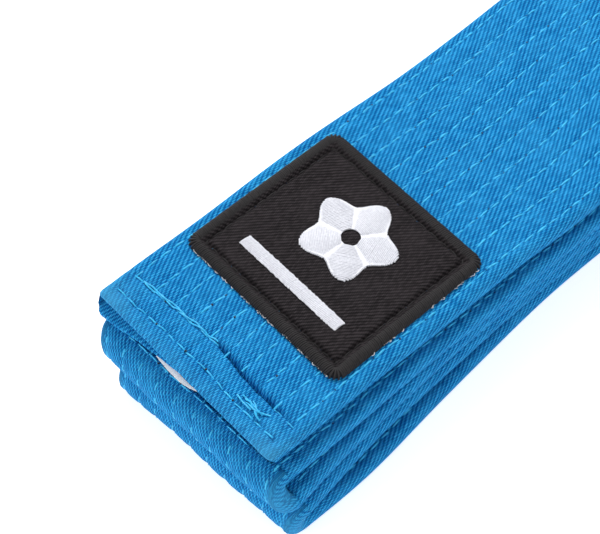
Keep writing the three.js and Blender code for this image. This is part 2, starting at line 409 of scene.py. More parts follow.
def addClothMap(mesh, u, v):
    layer = mesh.uv_layers.new(name="cloth")
    layer.data.foreach_set("uv", np.stack([u, v], axis=-1).astype(np.float32).ravel())


# A closed tube through rings of points, with its cloth map; the ends are closed across.
def tubeMesh(name, points, outline, along, material, wear=None, slip=None):
    ringCount, size = points.shape[:2]
    verts = points.reshape(-1, 3)
    ring, step = np.meshgrid(np.arange(ringCount - 1), np.arange(size), indexing="ij")
    after = (step + 1) % size
    quads = np.stack([
        ring * size + step, ring * size + after, (ring + 1) * size + after, (ring + 1) * size + step,
    ], axis=-1).reshape(-1, 4)
    half = size // 2
    caps = []
    for base, flip in ((0, False), ((ringCount - 1) * size, True)):
        faces = [(0, size - 1, 1)] + [(i, size - i, size - i - 1, i + 1) for i in range(1, half - 1)]
        faces.append((half - 1, half + 1, half))
        caps += [tuple(base + i for i in (face[::-1] if flip else face)) for face in faces]
    piece = meshPiece(name, verts.tolist(), quads.tolist() + caps, material)
    mesh = piece.data
    loops = loopVertices(mesh)
    u = outline[loops % size]
    v = along.reshape(-1)[loops]
    seam = np.zeros(len(quads) * 4, bool).reshape(-1, 4)
    seam[:, 1:3] = (after.reshape(-1) == 0)[:, None]
    u[: len(quads) * 4][seam.reshape(-1)] = outline[-1]
    if slip is not None:
        u = u + slip.reshape(-1)[loops]
    addClothMap(mesh, u, v)
    worn = np.zeros(len(verts)) if wear is None else wear.reshape(-1)
    mesh.attributes.new("wear", "FLOAT", "POINT").data.foreach_set("value", worn.astype(np.float32))
    return piece


def stations(start, end):
    fineEnd = min(frontY + strap["fineReach"], end)
    fine = np.arange(start, fineEnd, strap["fineStep"])
    coarse = np.linspace(fineEnd, end, max(2, round((end - fineEnd) / strap["coarseStep"])))
    return np.concatenate([fine[: -1 if fineEnd - fine[-1] < strap["fineStep"] / 3 else None], coarse])


hem = {
    "rows": [2.8 * mm, 6.5 * mm], "rowDepth": 0.4 * mm, "rowHalf": 0.5 * mm, "thinning": 0.3 * mm,
    "creaseFrom": -2.0 * mm, "creaseTo": 18.6 * mm, "creaseDepth": 1.3 * mm,
    "lip": 0.9 * mm, "grooveDrop": 1.2 * mm, "mouthDepth": 2.4 * mm, "cornerRound": 0.9 * mm,
    "lowerReach": 1.1 * mm, "lowerInset": 0.8 * mm, "droop": 0.9 * mm,
    "bow": [0.5 * mm, 1.0 * mm], "bowAt": -1.5 * mm, "bowHalf": 9 * mm,
}


# The distance of a sewn end row from the end edge.
def endRowGap(number, x):
    bow = hem["bow"][number] * np.exp(-(((x - hem["bowAt"]) / hem["bowHalf"]) ** 2))
    return hem["rows"][number] + bow + 0.1 * mm * np.sin(x / mm / 1.9 + number)


# How far the upper face of a free end is drawn down, by distance from the end edge.
def hemDraw(x, gap):
    thin = hem["thinning"] * (1 - smooth(gap, 5 * mm, 13 * mm))
    rows = 0
    for number in range(2):
        rows = rows + np.exp(-(((gap - endRowGap(number, x)) / hem["rowHalf"]) ** 2)) * hem["rowDepth"]
    inCrease = smooth(x, hem["creaseFrom"], 1.5 * mm) * (1 - smooth(x, 12.5 * mm, hem["creaseTo"]))
    offCrease = gap - endRowGap(1, x) - 0.25 * mm
    crease = hem["creaseDepth"] * inCrease * np.exp(-((offCrease / (0.3 * mm)) ** 2))
    swell = 0.32 * mm * inCrease * np.exp(-(((gap - endRowGap(1, x) - 1.7 * mm) / (1.0 * mm)) ** 2))
    return thin + rows + crease - swell


# A point on a run's face; side is +1 for the upper face and -1 for the lower.
def faceHeight(level, x, y, side):
    h = strap["thickness"] / 2 - rowDraw(x) + faceRipple(x, y, level * 2 + (side > 0))
    if level == 4 and side > 0:
        h = h - hemDraw(x, y - topEndY)
    return midHeight[level] + side * h + stackLift(level, x, y)


def facePoint(level, x, y, side, lift=0.0):
    return np.stack([
        x * edgeWave(level, y) + sideShift(level, y),
        y + lineShift(level, x, y),
        faceHeight(level, x, y, side) + side * lift,
    ], axis=-1)


def runRings(level, ys):
    x, h = section[:2]
    grid, gridY = np.meshgrid(x, ys, indexing="xy")
    heights = np.broadcast_to(h, grid.shape)
    flat = np.clip((strapHalf - np.abs(grid)) / strap["edgeRound"], 0, 1)
    side = np.sign(heights)
    draw = rowDraw(grid) - faceRipple(grid, gridY, level * 2 + (side > 0))
    z = midHeight[level] + heights - side * draw * flat + stackLift(level, grid, gridY)
    if level == 4:
        gap = gridY - topEndY
        z = z - np.where(side > 0, hemDraw(grid, gap) * flat, 0)
        droop = hem["droop"] * smooth(-grid, 9 * mm, 20 * mm) * (1 - smooth(gap, 0, 9 * mm))
        z = z - np.where(side < 0, droop, 0)
    return np.stack([
        grid * edgeWave(level, gridY) + sideShift(level, gridY), gridY + lineShift(level, grid, gridY), z,
    ], axis=-1)


def grooveHeight(level):
    return midHeight[level] + strap["thickness"] / 2 - hem["grooveDrop"] - hem["thinning"]


# Rings that round off a free end into an upper and a lower lip with a groove between them.
def endRings(level, edgeY, inward, first):
    x, groove = section[0], grooveHeight(level)
    rings = []
    for share in np.linspace(0.12, 1, 6):
        angle = share * math.pi / 2
        gap = hem["lip"] * (1 - math.sin(angle))
        rings.append((gap, 0.42 + 0.58 * math.cos(angle)))
    for share in (0.25, 0.5, 0.75, 1.0):
        rings.append((hem["mouthDepth"] * share**1.4, 0.42 * (1 - share) + 0.01))
    made = []
    for gap, keep in rings:
        ring = first.copy()
        low = first[:, 2] < groove
        height = groove + (first[:, 2] - groove) * keep
        leftShare = 1 - smooth(x, -19 * mm, 3 * mm)
        reach = hem["lowerReach"] * (1.7 * leftShare - 0.7) * low
        corner = np.clip((np.abs(x) - (halfWidth - hem["cornerRound"])) / hem["cornerRound"], 0, 1)
        cut = hem["cornerRound"] * (1 - np.sqrt(1 - 0.9 * corner**2))
        ring[:, 0] += hem["lowerInset"] * low * smooth(-x, 12 * mm, 20 * mm)
        ring[:, 1] = edgeY + inward * (gap + cut - reach)
        ring[:, 2] = height
        ring[:, 2] -= hem["droop"] * low * smooth(-x, 9 * mm, 20 * mm)
        made.append(ring)
    return made


def buildRun(level):
    number = level + 1
    topRun, bottomRun = level == 4, level == 0
    start = topEndY + hem["lip"] if topRun else frontY
    end = bottomEndY - hem["lip"] if bottomRun else farY
    ys = stations(start, end)
    if topRun:
        close = np.arange(start, start + 11 * mm, 0.26 * mm)
        ys = np.concatenate([close, ys[ys > close[-1] + 0.4 * mm]])
    points = runRings(level, ys)
    if topRun:
        extra = endRings(level, topEndY, 1, points[0])
        points = np.concatenate([np.stack(extra[::-1]), points])
    if bottomRun:
        extra = endRings(level, bottomEndY, -1, points[-1])
        points = np.concatenate([points, np.stack(extra)])
    wear = np.zeros(points.shape[:2])
    if topRun:
        gap = points[..., 1] - topEndY
        x = points[..., 0]
        atCorner = np.exp(-((gap / (5 * mm)) ** 2)) * smooth(np.abs(x), 12 * mm, 19 * mm)
        upper = smooth(points[..., 2] - grooveHeight(level), 0, 0.4 * mm)
        wear = (0.25 * (1 - smooth(gap, 0.5 * mm, 3.5 * mm)) + 0.6 * atCorner) * upper
    piece = tubeMesh(f"run_{number}_twill", points, section[2], points[..., 1] / mm, coverTwill, wear)
    nodes = [f"run_{number}_cover"]
    if topRun:
        nodes += ["top_end_hem", "top_end_turned_in_ply"]
    if bottomRun:
        nodes += ["bottom_end_hem", "bottom_end_turned_in_ply"]
    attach(piece, levels[level])
    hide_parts(*nodes)


for level in range(5):
    buildRun(level)
print("runs built")

# folds

foldForm = {
    "radius": pitch / 2, "fullness": 1.06, "squareness": 0.82, "steps": 26,
    "pinch": [1.4 * mm, 0.2 * mm, 0.6 * mm, 0.2 * mm], "sideWear": 0.42, "flatLength": 11.5 * mm,
}


# The point at an angle round a fold, at height h off the middle line. The turn starts at the lower run.
def foldPoint(index, x, turn, h):
    atFront = index % 2 == 0
    foldY = frontY if atFront else farY
    away = -1 if atFront else 1
    share = turn / math.pi
    mix = smooth(share, 0, 1)
    axisZ = (midHeight[index] + midHeight[index + 1]) / 2
    shift = sideShift(index, foldY) * (1 - mix) + sideShift(index + 1, foldY) * mix
    lift = stackLift(index, x, foldY) * (1 - mix) + stackLift(index + 1, x, foldY) * mix
    out = np.sin(turn) ** foldForm["squareness"]
    full = 1 + (foldForm["fullness"] - 1) * np.sin(turn)
    bulge = 0.12 * mm * np.sin(turn) * np.sin(x / mm / 3.1 + 2 * index)
    bulge = bulge + 0.1 * mm * np.sin(turn) * np.sin(x / mm / 7 + index)
    y = foldY + lineShift(index, x, foldY) + away * ((foldForm["radius"] * full + h) * out + bulge)
    z = axisZ - (foldForm["radius"] + h) * np.cos(turn) + lift
    x = x * (edgeWave(index, foldY) * (1 - mix) + edgeWave(index + 1, foldY) * mix)
    pinch = foldForm["pinch"][index] * smooth(-x, 8 * mm, 20 * mm) * np.sin(turn)
    return np.stack(np.broadcast_arrays(x + shift + pinch, y, z), axis=-1)


def foldRings(index):
    x, h = section[:2]
    atFront = index % 2 == 0
    turns = np.linspace(0, math.pi, foldForm["steps"] + 1)
    if not atFront:
        turns = turns[::-1]
    flat = np.clip((strapHalf - np.abs(x)) / strap["edgeRound"], 0, 1)
    height = h - np.sign(h) * rowDraw(x) * flat
    rings = [foldPoint(index, x, turn, height) for turn in turns]
    # the sides keep a flat map, so the weave runs straight across them instead of in rings
    bend, reach = turns[:, None], (foldForm["radius"] + strap["thickness"] / 2) / mm
    side = smooth(np.abs(x), strapHalf - strap["edgeRound"], strapHalf - 0.3 * strap["edgeRound"])
    out = (foldForm["radius"] + h) / mm
    slip = side * np.where(x < 0, 1, -1) * out * (np.abs(np.cos(bend)) - 1)
    along = (1 if atFront else -1) * ((1 - side) * bend * reach + side * out * np.sin(bend))
    return np.stack(rings), along, slip


def hinge(piece):
    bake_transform(piece)


def buildFold(index):
    foldName = foldNames[index]
    points, along, slip = foldRings(index)
    atSide = smooth(np.abs(section[0]), halfWidth - 3.2 * mm, halfWidth - 0.6 * mm)
    bend = np.sin(np.linspace(0, math.pi, len(points)))[:, None]
    wear = bend * (0.12 + foldForm["sideWear"] * atSide[None, :])
    piece = tubeMesh(f"{foldName}_twill", points, section[2], along, coverTwill, wear, slip)
    hinge(piece)
    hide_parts(f"{foldName}_cover")


for index in range(4):
    buildFold(index)
print("folds built")

# thread and stitches

stitchForm = {
    "pitch": 2.75 * mm, "length": 2.2 * mm, "radius": 0.18 * mm, "arch": 0.36 * mm, "sink": 0.14 * mm,
    "slant": 0.13, "holeShare": 0.4, "holeSize": 0.21 * mm, "startGap": 7.0 * mm,
    "foldGap": 2.4 * mm, "endGap": 1.2 * mm,
}


def newTree(name, inputs):
    tree = bpy.data.node_groups.new(name, "GeometryNodeTree")
    sockets = {"Geometry": "NodeSocketGeometry", **inputs}
    for label, kind in sockets.items():
        tree.interface.new_socket(label, in_out="INPUT", socket_type=kind)
    tree.interface.new_socket("Geometry", in_out="OUTPUT", socket_type="NodeSocketGeometry")
    return tree, tree.nodes.new("NodeGroupInput").outputs, tree.nodes.new("NodeGroupOutput").inputs


def randomFloat(tree, low, high, seed):
    inputs = {2: low, 3: high, "Seed": seed}
    return addNode(tree, "FunctionNodeRandomValue", inputs, data_type="FLOAT").outputs[1]


# The end of every tree: real mesh in its material.
def realMesh(tree, geometry, material):
    real = addNode(tree, "GeometryNodeRealizeInstances", {0: geometry})
    inputs = {"Geometry": real.outputs[0], "Material": material}
    return addNode(tree, "GeometryNodeSetMaterial", inputs).outputs[0]


# Rows of stitches along guide lines whose points know which way is out of the cloth.
def makeStitchTree():
    tree, given, result = newTree("stitch_rows", {
        "Pitch": "NodeSocketFloat", "Length": "NodeSocketFloat", "Radius": "NodeSocketFloat",
        "Arch": "NodeSocketFloat", "Sink": "NodeSocketFloat", "Slant": "NodeSocketFloat",
        "Hole Share": "NodeSocketFloat", "Hole Size": "NodeSocketFloat", "Seed": "NodeSocketInt",
        "Thread": "NodeSocketMaterial", "Hole": "NodeSocketMaterial",
    })
    lines = addNode(tree, "GeometryNodeMeshToCurve", {"Mesh": given["Geometry"]})
    inputs = {"Curve": lines.outputs["Curve"], "Length": given["Pitch"]}
    spaced = addNode(tree, "GeometryNodeResampleCurve", inputs, mode="LENGTH").outputs[0]

    named = addNode(tree, "GeometryNodeInputNamedAttribute", {"Name": "outward"}, data_type="FLOAT_VECTOR")
    outward, tangent = named.outputs[0], tree.nodes.new("GeometryNodeInputTangent").outputs[0]
    sideways = addNode(tree, "ShaderNodeVectorMath", {0: outward, 1: tangent}, operation="CROSS_PRODUCT")
    lean = mathNode(tree, "MULTIPLY", randomFloat(tree, -1.0, 1.0, given["Seed"]), given["Slant"])
    inputs = {0: sideways.outputs[0], "Scale": lean}
    leaning = addNode(tree, "ShaderNodeVectorMath", inputs, operation="SCALE")
    heading = addNode(tree, "ShaderNodeVectorMath", {0: tangent, 1: leaning.outputs[0]}, operation="ADD")
    turned = addNode(tree, "FunctionNodeAlignRotationToVector", {"Vector": heading.outputs[0]}, axis="X")
    inputs = {"Rotation": turned.outputs[0], "Vector": outward}
    upright = addNode(tree, "FunctionNodeAlignRotationToVector", inputs, axis="Z", pivot_axis="X").outputs[0]

    def point(share, height):
        place = mathNode(tree, "MULTIPLY", given["Length"], share)
        return addNode(tree, "ShaderNodeCombineXYZ", {0: place, 2: height}).outputs[0]

    low = mathNode(tree, "MULTIPLY", given["Sink"], -1)
    arch = addNode(tree, "GeometryNodeCurveQuadraticBezier", {
        "Resolution": 3, "Start": point(-0.5, low),
        "Middle": point(0.0, given["Arch"]), "End": point(0.5, low),
    })
    profile = addNode(tree, "GeometryNodeCurvePrimitiveCircle", {"Resolution": 4, "Radius": given["Radius"]})
    thread = addNode(tree, "GeometryNodeCurveToMesh", {
        "Curve": arch.outputs[0], "Profile Curve": profile.outputs[0], "Fill Caps": True,
    })

    def uneven(least, most, seedStep):
        return randomFloat(tree, least, most, mathNode(tree, "ADD", given["Seed"], seedStep))

    size = addNode(tree, "ShaderNodeCombineXYZ", {
        0: uneven(0.82, 1.1, 5), 1: uneven(0.75, 1.15, 9), 2: uneven(0.7, 1.2, 7),
    })
    sewn = addNode(tree, "GeometryNodeInstanceOnPoints", {
        "Points": spaced, "Instance": thread.outputs[0], "Rotation": upright, "Scale": size.outputs[0],
    })

    # small dark cones at some needle holes: painted shade in the holes
    depth = mathNode(tree, "MULTIPLY", given["Hole Size"], 0.4)
    pit = addNode(tree, "GeometryNodeMeshCone", {
        "Vertices": 6, "Radius Bottom": given["Hole Size"], "Radius Top": 0, "Depth": depth,
    })
    inputs = {"Probability": given["Hole Share"], "Seed": mathNode(tree, "ADD", given["Seed"], 3)}
    chosen = addNode(tree, "FunctionNodeRandomValue", inputs, data_type="BOOLEAN").outputs[3]
    pits = addNode(tree, "GeometryNodeInstanceOnPoints", {
        "Points": spaced, "Selection": chosen, "Instance": pit.outputs[0], "Rotation": upright,
    })
    ahead = addNode(tree, "ShaderNodeCombineXYZ", {0: mathNode(tree, "MULTIPLY", given["Pitch"], 0.5)})
    shifted = addNode(tree, "GeometryNodeTranslateInstances", {
        0: pits.outputs[0], "Translation": ahead.outputs[0], "Local Space": True,
    })
    both = tree.nodes.new("GeometryNodeJoinGeometry")
    tree.links.new(realMesh(tree, sewn.outputs[0], given["Thread"]), both.inputs[0])
    tree.links.new(realMesh(tree, shifted.outputs[0], given["Hole"]), both.inputs[0])
    tree.links.new(both.outputs[0], result[0])
    return tree


# Lengths of thread: every guide line becomes a round thread with closed ends.
def makeThreadTree():
    tree, given, result = newTree("thread_lengths", {
        "Radius": "NodeSocketFloat", "Sides": "NodeSocketInt", "Thread": "NodeSocketMaterial",
    })
    lines = addNode(tree, "GeometryNodeMeshToCurve", {"Mesh": given["Geometry"]})
    inputs = {"Resolution": given["Sides"], "Radius": given["Radius"]}
    profile = addNode(tree, "GeometryNodeCurvePrimitiveCircle", inputs)
    spun = addNode(tree, "GeometryNodeCurveToMesh", {
        "Curve": lines.outputs["Curve"], "Profile Curve": profile.outputs[0], "Fill Caps": True,
    })
    tree.links.new(realMesh(tree, spun.outputs[0], given["Thread"]), result[0])
    return tree


stitchTree, threadTree = makeStitchTree(), makeThreadTree()


# Runs a tree over guide lines and leaves a plain mesh.
def growPiece(name, lines, tree, settings, outward=None):
    guide = bpy.data.meshes.new(name + "_guide")
    verts = np.concatenate(lines)
    edges, start = [], 0
    for line in lines:
        edges += [(i, i + 1) for i in range(start, start + len(line) - 1)]
        start += len(line)
    guide.from_pydata(verts.tolist(), edges, [])
    if outward is not None:
        layer = guide.attributes.new("outward", "FLOAT_VECTOR", "POINT")
        layer.data.foreach_set("vector", np.concatenate(outward).astype(np.float32).ravel())
    carrier = linkPiece(name + "_guide", guide)
    modifier = carrier.modifiers.new("grow", "NODES")
    modifier.node_group = tree
    for socket in tree.interface.items_tree:
        if socket.in_out == "INPUT" and socket.name in settings:
            modifier[socket.identifier] = settings[socket.name]
    grown = carrier.evaluated_get(bpy.context.evaluated_depsgraph_get())
    mesh = bpy.data.meshes.new_from_object(grown)
    mesh.name = name
    spare = mesh.attributes.get("outward")
    if spare is not None:
        mesh.attributes.remove(spare)
    bpy.data.objects.remove(carrier)
    bpy.data.meshes.remove(guide)
    mesh.polygons.foreach_set("use_smooth", np.ones(len(mesh.polygons), bool))
    return linkPiece(name, mesh)


# Stitch settings for one piece; a change is named as in stitchForm.
def stitchSettings(seed, thread=blueThread, **changes):
    form = {**stitchForm, **changes}
    return {
        "Pitch": form["pitch"], "Length": form["length"], "Radius": form["radius"], "Arch": form["arch"],
        "Sink": form["sink"], "Slant": form["slant"], "Hole Share": form["holeShare"],
        "Hole Size": form["holeSize"], "Seed": seed, "Thread": thread, "Hole": holeShade,
    }


def sewRun(level):
    ys = np.arange(frontY, farY + 1e-6, 1.5 * mm)
    if level == 4:
        ys = ys[ys > topEndY + stitchForm["startGap"]]
    if level == 0:
        ys = ys[ys < bottomEndY - stitchForm["startGap"]]
    lines, outward = [], []
    for side in (1, -1):
        for row, place in enumerate(rowPlaces):
            off = 0.12 * mm * np.sin(ys / mm / 17 + 2 * row) + 0.07 * mm * np.sin(ys / mm / 3.9 + row)
            shift = (row * 7 % 5) / 5 * stitchForm["pitch"]
            own = ys + shift * (ys < farY - 3 * mm)
            fold = level if side > 0 else level - 1
            keep = (own > frontY + stitchForm["endGap"]) & (own < farY - stitchForm["endGap"])
            if 0 <= fold < 4 and fold % 2 == 0:
                keep &= own > frontY + stitchForm["foldGap"]
            elif 0 <= fold < 4:
                keep &= own < farY - stitchForm["foldGap"]
            lines.append(facePoint(level, place + off, own, side)[keep])
            outward.append(np.tile([0.0, 0.0, float(side)], (int(keep.sum()), 1)))
    piece = growPiece(f"run_{level + 1}_stitching", lines, stitchTree, stitchSettings(11 + level), outward)
    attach(piece, levels[level])
    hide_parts(f"run_{level + 1}_topstitch")


foldStitches = {
    "pitch": 2.5 * mm, "length": 1.45 * mm, "sink": 0.1 * mm, "arch": 0.28 * mm,
    "slant": 0.08, "holeShare": 0.0,
}


def sewFold(index):
    turns = np.linspace(0.12, math.pi - 0.12, 25)
    lines, outward = [], []
    lift = strap["thickness"] / 2 - strap["rowDepth"]
    away = -1 if index % 2 == 0 else 1
    for row, place in enumerate(rowPlaces):
        lines.append(np.stack([foldPoint(index, place, turn + 0.05 * (row % 3), lift) for turn in turns]))
        outward.append(np.stack([np.zeros(len(turns)), away * np.sin(turns), -np.cos(turns)], axis=-1))
    settings = stitchSettings(31 + index, **foldStitches)
    piece = growPiece(f"{foldNames[index]}_stitching", lines, stitchTree, settings, outward)
    hinge(piece)


# A row sewn across the top of the upper front fold, just in front of the free end.
foldRow = {"from": -16.5 * mm, "to": 11 * mm, "turn": 0.965 * math.pi, "lift": 0.08 * mm}
foldRowStitches = {
    "pitch": 2.3 * mm, "length": 2.1 * mm, "radius": 0.16 * mm, "arch": 0.24 * mm,
    "slant": 0.1, "holeShare": 0.3,
}


def sewFoldRow(index):
    xs = np.linspace(foldRow["from"], foldRow["to"], 60)
    turn = foldRow["turn"] + 0.02 * np.sin(xs / mm / 2.3)
    line = foldPoint(index, xs, turn, strap["thickness"] / 2 - rowDraw(xs) + foldRow["lift"])
    out = np.stack([np.zeros(len(xs)), -np.sin(turn), -np.cos(turn)], axis=-1)
    settings = stitchSettings(38, **foldRowStitches)
    piece = growPiece(f"{foldNames[index]}_cross_row", [line], stitchTree, settings, [out])
    hinge(piece)


for level in range(5):
    sewRun(level)
for index in range(4):
    sewFold(index)
sewFoldRow(2)
print("stitching built")

# interlining

plies = {
    "core_lower": -0.36 * mm, "core_upper": 0.36 * mm, "core_inner": -0.36 * mm, "core_outer": 0.36 * mm,
    "thickness": 0.6 * mm, "inset": 1.6 * mm, "foldLength": 10.2 * mm,
}
plyHalf = halfWidth - plies["inset"]
plySection = strapSection(plyHalf, plies["thickness"], 0.3 * mm, 8, 1)


def linePly(level, part):
    number = level + 1
    low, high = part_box(f"run_{number}_{part}")
    fineEnd = frontY + 60 * mm
    ys = np.concatenate([np.arange(low.y, fineEnd, 3 * mm), np.linspace(fineEnd, high.y, 60)])
    x, h, outline = plySection
    grid, gridY = np.meshgrid(x, ys, indexing="xy")
    z = midHeight[level] + plies[part] + np.broadcast_to(h, grid.shape) + stackLift(level, grid, gridY)
    if level == 4:
        z = z - 0.5 * hemDraw(30 * mm, gridY - topEndY)
    points = np.stack([grid + sideShift(level, gridY), gridY + lineShift(level, grid, gridY), z], axis=-1)
    piece = tubeMesh(f"run_{number}_{part}_ply", points, outline, points[..., 1] / mm, interlining)
    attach(piece, levels[level])
    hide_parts(f"run_{number}_{part}")


def foldPly(index, part):
    x, h, outline = plySection
    atFront = index % 2 == 0
    turns = np.linspace(0, math.pi, 17)
    if not atFront:
        turns = turns[::-1]
    points = np.stack([foldPoint(index, x, turn, h + plies[part]) for turn in turns])
    reach = (foldForm["radius"] + plies[part]) / mm
    along = np.repeat((turns * reach * (1 if atFront else -1))[:, None], len(x), axis=1)
    piece = tubeMesh(f"{foldNames[index]}_{part}_ply", points, outline, along, interlining)
    hinge(piece)
    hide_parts(f"{foldNames[index]}_{part}")


for level in range(5):
    linePly(level, "core_lower")
    linePly(level, "core_upper")
for index in range(4):
    foldPly(index, "core_inner")
    foldPly(index, "core_outer")
print("interlining built")

# sewn ends

endReach = 17.3 * mm
endStitches = {"pitch": 2.2 * mm, "length": 2.1 * mm, "holeShare": 0.5, "radius": 0.16 * mm}


# Two cross rows near a free end; the second row of the top end is open where the crease runs.
def sewEnd(level, edgeY, inward, label):
    for number in range(2):
        xs = np.linspace(-endReach, endReach - 0.8 * mm * (1 - number), 90)
        spans = [(xs, -1), (xs, 1)]
        if number == 1 and level == 4:
            spans = [(xs, -1), (xs[xs < -0.8 * mm], 1), (xs[xs > 14.5 * mm], 1)]
        lines, outward = [], []
        for part, side in spans:
            ys = edgeY + inward * endRowGap(number, part)
            lines.append(facePoint(level, part, ys, side, 0.09 * mm))
            outward.append(np.tile([0.0, 0.0, float(side)], (len(part), 1)))
        settings = stitchSettings(51 + number, **endStitches)
        piece = growPiece(f"{label}_row_{number + 1}", lines, stitchTree, settings, outward)
        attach(piece, levels[level])
        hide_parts(f"{label}_cross_row_{number + 1}")


sewEnd(4, topEndY, 1, "top_end")
sewEnd(0, bottomEndY, -1, "bottom_end")

# Doubled thread left of the crease, and the knotted tack at the right of the end.
looseThread = {"radius": 0.15 * mm, "from": -16.5 * mm, "to": -0.5 * mm, "tackWidth": 5.0 * mm, "passes": 7}


def threadPiece(name, lines, radius, material, body, sides=6):
    piece = growPiece(name, lines, threadTree, {"Radius": radius, "Sides": sides, "Thread": material})
    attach(piece, body)
    return piece


def onTopRun(x, gap, lift):
    return facePoint(4, np.asarray(x, float), topEndY + np.asarray(gap, float), 1, lift)


def layDoubledThread():
    xs = np.linspace(looseThread["from"], looseThread["to"], 60)
    doubled = []
    for strand, phase in enumerate((0.0, 2.4)):
        gap = endRowGap(1, xs) + (0.10 + 0.16 * strand) * mm + 0.16 * mm * np.sin(xs / mm * 1.35 + phase)
        lift = (0.2 + 0.1 * np.sin(xs / mm * 1.1 + phase)) * mm
        doubled.append(onTopRun(xs, gap, lift))
    threadPiece(
        "top_end_loose_thread", doubled, looseThread["radius"], blueThread, "top_run",
    )


def sewTack():
    low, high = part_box("top_end_back_tack")
    centreX, centreGap = (low.x + high.x) / 2, (low.y + high.y) / 2 - topEndY
    dice = random.Random(7)
    steps = np.linspace(-0.5, 0.5, 9)
    passes = []
    for _ in range(looseThread["passes"]):
        width = looseThread["tackWidth"] * dice.uniform(0.35, 1.0)
        x = centreX + dice.uniform(-2, 1.6) * mm + steps * width
        bend = dice.uniform(-0.6, 0.6) * mm * np.cos(steps * math.pi * dice.uniform(1, 2.5))
        gap = centreGap + dice.uniform(-0.8, 0.5) * mm + steps * dice.uniform(-1.6, 1.6) * mm + bend
        lift = (0.1 + dice.uniform(0.1, 0.25) * np.cos(steps * math.pi)) * mm
        passes.append(onTopRun(x, gap, lift))
    tack = threadPiece(
        "top_end_tack", passes, looseThread["radius"], blueThread, "top_run",
    )
    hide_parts("top_end_back_tack")


tape = {
    "centre": -1.5 * mm, "width": 10.1 * mm, "thickness": 0.2 * mm, "reach": -0.1 * mm,
    "bow": (0.35 * mm, 1.5 * mm),  # how far its left and right corners lie back
}


def layTape():
    x, h, outline = strapSection(tape["width"] / 2, tape["thickness"], 0.1 * mm, 12, 1)
    ys = np.linspace(topEndY - tape["reach"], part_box("care_label")[1].y, 20)
    grid, gridY = np.meshgrid(x + tape["centre"], ys, indexing="xy")
    gap = gridY - topEndY
    under = midHeight[4] - strap["thickness"] / 2 - 0.16 * mm
    z = under + np.broadcast_to(h, grid.shape) + stackLift(4, grid, gridY)
    z = z - 0.1 * mm * (1 - smooth(gap, -1 * mm, 3 * mm))
    aside = (grid - tape["centre"]) / (tape["width"] / 2)
    bowed = np.where(aside < 0, *tape["bow"]) * aside**2 * (1 - smooth(gap, 0, 4 * mm))
    points = np.stack([grid + sideShift(4, gridY), gridY + bowed, z], axis=-1)
    piece = tubeMesh("end_label", points, outline, points[..., 1] / mm, labelTape)
    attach(piece, "top_run")
    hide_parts("care_label")


layDoubledThread()
sewTack()
layTape()
print("ends built")

# badge

badge = {
    "corner": 1.9 * mm, "base": 0.8 * mm, "border": 2.0 * mm, "borderHeight": 0.95 * mm,
    "wrapPitch": 0.33 * mm, "wrapRadius": 0.18 * mm, "groundInset": 0.8 * mm,
    "shift": (0.04 * mm, -0.67 * mm), "stretch": (1.045, 0.988), "seamInset": 2.45 * mm, "dip": 0.72 * mm,
}
low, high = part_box("badge_border")
badgeHalf = (high.x - low.x) / 2
badgeX, badgeY = (low.x + high.x) / 2 + badge["shift"][0], (low.y + high.y) / 2 + badge["shift"][1]
wideX, wideY = badge["stretch"]


def badgeBed(x, y):
    return midHeight[4] + strap["thickness"] / 2 + stackLift(4, x, y) - 0.04 * mm


# A rounded square's outline: points and their outward directions.
def badgeOutline(inset, step):
    half, radius = badgeHalf - inset, max(badge["corner"] - inset, 0.3 * mm)
    straight = 2 * (half - radius)
    places, outs = [], []
    for side in range(4):
        turn = side * math.pi / 2
        cos, sin = math.cos(turn), math.sin(turn)
        count = max(2, round(straight / step))
        bend = max(3, round(radius * math.pi / 2 / step))
        local = [((half, -straight / 2 + straight * i / count), 0.0) for i in range(count)]
        local += [
            ((half - radius + radius * math.cos(math.pi / 2 * i / bend),
              straight / 2 + radius * math.sin(math.pi / 2 * i / bend)), math.pi / 2 * i / bend)
            for i in range(bend)
        ]
        for (a, b), lean in local:
            places.append((a * cos - b * sin, a * sin + b * cos))
            outs.append((math.cos(turn + lean), math.sin(turn + lean)))
    return np.array(places), np.array(outs)


def badgeGround():
    count = 150
    half = badgeHalf - badge["groundInset"]
    axis = np.linspace(-half, half, count + 1)
    gridX, gridY = np.meshgrid(axis, axis, indexing="xy")
    edge = np.minimum(half - np.abs(gridX), half - np.abs(gridY))
    gridX, gridY = gridX * wideX, gridY * wideY
    seam = badge["seamInset"] - badge["groundInset"]
    draw = badge["dip"] * np.exp(-(((edge - seam) / (0.36 * mm)) ** 2))
    swell = 0.1 * mm * np.sin(gridX / mm / 3.3 + 1) * np.sin(gridY / mm / 4.1)
    bed = badgeBed(gridX + badgeX, gridY + badgeY)
    top = bed + badge["base"] - draw + swell * smooth(edge, 2 * mm, 5 * mm)
    side = count + 1
    verts = np.concatenate([
        np.stack([gridX + badgeX, gridY + badgeY, top], axis=-1).reshape(-1, 3),
        np.stack([gridX + badgeX, gridY + badgeY, bed + 0 * top], axis=-1).reshape(-1, 3),
    ])
    faces = []
    for j in range(count):
        for i in range(count):
            a, b = j * side + i, j * side + i + 1
            c, d = b + side, a + side
            faces.append((a, b, c, d))
            faces.append(tuple(k + side * side for k in (d, c, b, a)))
    ring = [i for i in range(side)] + [j * side + count for j in range(1, side)]
    ring += [count * side + i for i in range(count - 1, -1, -1)] + [j * side for j in range(count - 1, 0, -1)]
    for first, second in zip(ring, ring[1:] + ring[:1]):
        faces.append((second, first, first + side * side, second + side * side))
    piece = meshPiece("badge_ground", verts.tolist(), faces, badgeTwill)
    spots = verts[loopVertices(piece.data)] / mm
    addClothMap(piece.data, spots[:, 0], spots[:, 1])
    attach(piece, "top_run")
    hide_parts("badge_field")


